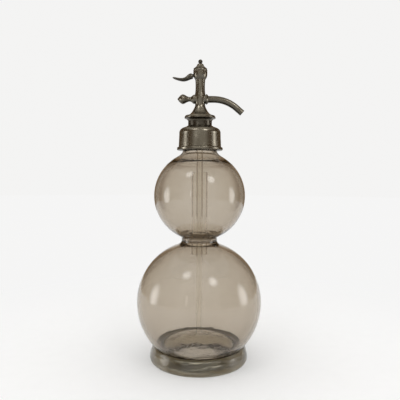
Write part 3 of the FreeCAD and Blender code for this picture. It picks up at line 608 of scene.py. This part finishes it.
def floor_paper():
    """Paper that glows evenly far from the bottle and takes its shadow near it, with a painted glow under
    the base's middle and a painted shadow under the ring.
    """
    p = Paint("floor_paper")
    reach = p.reach()
    # painted light: the paper under the middle of the base glows, so the base looks bright through the glass
    painted_glow_under_base = p.remap(reach, 0.024, 0.046, 0.72, 0.0)
    beyond = p.math("MULTIPLY", p.remap(reach, 0.060, 0.067), p.remap(reach, 0.12, 0.55, 0.25, 1.0))
    sheet = p.mix(p.remap(p.noise(60.0, 4.0), 0.3, 0.7), (0.955, 0.952, 0.947), (0.97, 0.967, 0.962))
    # painted shadow: the paper under the foot ring turns dark brown
    under = p.math("MULTIPLY", p.remap(reach, 0.026, 0.044), p.remap(reach, 0.056, 0.064, 1.0, 0.0))
    paper = p.node("ShaderNodeBsdfDiffuse", {"Color": p.mix(under, sheet, (0.16, 0.14, 0.095))})
    even = p.node("ShaderNodeEmission", {"Color": (0.916, 0.914, 0.910)})
    blend = p.node("ShaderNodeMixShader", {
        0: p.math("ADD", painted_glow_under_base, beyond), 1: paper.outputs[0], 2: even.outputs[0]})
    p.output(blend.outputs[0])
    return p.material


bpy.ops.mesh.primitive_circle_add(vertices=96, radius=6.0, fill_type="NGON", location=(0, 0, -0.4 * MM))
floor = bpy.context.object
floor.name = "floor"
floor.data.materials.append(floor_paper())

world = bpy.data.worlds.new("studio")
scene.world = world
world.use_nodes = True
world.node_tree.nodes["Background"].inputs["Color"].default_value = (*WHITE, 1)
world.node_tree.nodes["Background"].inputs["Strength"].default_value = 1.0

# ------------------------------------------------------------------ screens
STUDIO_R, STUDIO_TOP = 1.5, 1.7
FRONT_EDGE, BACK_EDGE = 38, 150         # azimuths where the side walls start and end
NOWHERE = (8.0, 9.0)                    # further out than any screen


def screen_light(name, near, far, spread, rise, seen_through=1.0):
    """Even light: colour near up to the spread across and the rise above the floor, then softly far.

    seen_through is how much of it shows to light that has come through glass, instead of white.
    """
    p = Paint(name)
    across = p.remap(p.math("ABSOLUTE", p.axis("X")), *spread)
    above = p.remap(p.axis("Z"), *rise)
    shade = p.mix(p.math("MAXIMUM", across, above), near, far)
    through = p.node("ShaderNodeLightPath").outputs["Is Transmission Ray"]
    return p.glow(p.mix(p.remap(through, 0.0, 1.0, 0.0, 1.0 - seen_through), shade, WHITE))


def hidden(name, mesh, material):
    """Piece of the studio that only gloss and glass see."""
    data = bpy.data.meshes.new(name)
    mesh.to_mesh(data)
    mesh.free()
    data.materials.append(material)
    screen = bpy.data.objects.new(name, data)
    scene.collection.objects.link(screen)
    screen.visible_camera = screen.visible_diffuse = screen.visible_shadow = False


def wall(name, first, last, material, count=24):
    """Curved screen between two azimuths, 0 being the camera's side."""
    mesh = bmesh.new()
    columns = []
    for i in range(count + 1):
        a = math.radians(first + (last - first) * i / count)
        x, y = STUDIO_R * math.sin(a), -STUDIO_R * math.cos(a)
        columns.append([mesh.verts.new((x, y, 2 * MM)), mesh.verts.new((x, y, STUDIO_TOP))])
    for left, right in zip(columns, columns[1:]):
        mesh.faces.new([left[0], right[0], right[1], left[1]])
    hidden(name, mesh, material)


wall("wall_front", -FRONT_EDGE, FRONT_EDGE,
     screen_light("wall_front", (0.74, 0.71, 0.66), DIM, NOWHERE, (0.0, 0.5)))
wall("wall_back", BACK_EDGE, 360 - BACK_EDGE,
     screen_light("wall_back", WHITE, AMBER, (0.24, 0.52), (0.46, 0.78), 0.6))
for side in (-1, 1):
    wall(f"wall_side_{side}", side * FRONT_EDGE, side * BACK_EDGE,
         screen_light(f"wall_side_{side}", (0.41, 0.345, 0.265), DARK, NOWHERE, (0.0, 0.14), 0.30))
ceiling = bmesh.new()
bmesh.ops.create_circle(ceiling, cap_ends=True, segments=48, radius=STUDIO_R + 0.02)
bmesh.ops.translate(ceiling, verts=ceiling.verts, vec=(0, 0, STUDIO_TOP + 0.005))
hidden("ceiling", ceiling, screen_light("ceiling", DIM, DIM, NOWHERE, NOWHERE))

# ------------------------------------------------------------------ lamps
# name: azimuth and elevation, distance, width and height, level, and the height it faces
LAMPS = {
    "lamp_left": (-86, 0, 1.0, 0.50, 0.80, 5.0, 0.20),
    "lamp_right": (85, 0, 1.0, 0.50, 0.80, 5.0, 0.22),
    "lamp_strip": (-22, 6, 1.2, 0.13, 0.60, 3.0, 0.25),
    "lamp_front_right": (34, 43, 1.2, 0.46, 0.52, 6.5, 0.18),
    "lamp_front_left": (-38, 56, 1.2, 0.46, 0.50, 5.5, 0.13),
}


def lamp(name, azimuth, elevation, distance, width, height, level, aim):
    """Oval lamp that fades towards its rim and faces the bottle's axis at the height aim."""
    a, e = math.radians(azimuth), math.radians(elevation)
    place = Vector((math.sin(a) * math.cos(e), -math.cos(a) * math.cos(e), math.sin(e))) * distance
    bpy.ops.mesh.primitive_circle_add(vertices=48, radius=1.0, fill_type="NGON")
    disc = bpy.context.object
    disc.name = name
    disc.scale = (width / 2, height / 2, 1)
    disc.location = place + Vector((0, 0, aim))
    disc.rotation_euler = (-place).to_track_quat("-Z", "Y").to_euler()
    p = Paint(name)
    disc.data.materials.append(p.glow((1.0, 0.985, 0.96), p.remap(p.reach(), 0.25, 1.0, level, 0.0)))
    disc.visible_camera = disc.visible_transmission = False


for name, values in LAMPS.items():
    lamp(name, *values)

# ------------------------------------------------------------------ camera
CAMERA_PLACE = (0, -0.615, 0.2486)
CAMERA_DOWN, CAMERA_ROLL = 2.8, 0.35    # degrees
camera_data = bpy.data.cameras.new("camera")
camera_data.lens = 40.5
camera_data.sensor_width = 36
camera_data.clip_start = 0.01
camera_data.shift_x = 0.0011
camera = bpy.data.objects.new("camera", camera_data)
camera.location = CAMERA_PLACE
tilt = Matrix.Rotation(math.radians(90 - CAMERA_DOWN), 4, "X")
camera.rotation_euler = (tilt @ Matrix.Rotation(math.radians(CAMERA_ROLL), 4, "Z")).to_euler()
scene.collection.objects.link(camera)
scene.camera = camera

scene.view_settings.view_transform = "Standard"
# enough bounces for light to cross both globes and the tubes
scene.cycles.max_bounces = 28
scene.cycles.transmission_bounces = 26

bpy.context.view_layer.update()
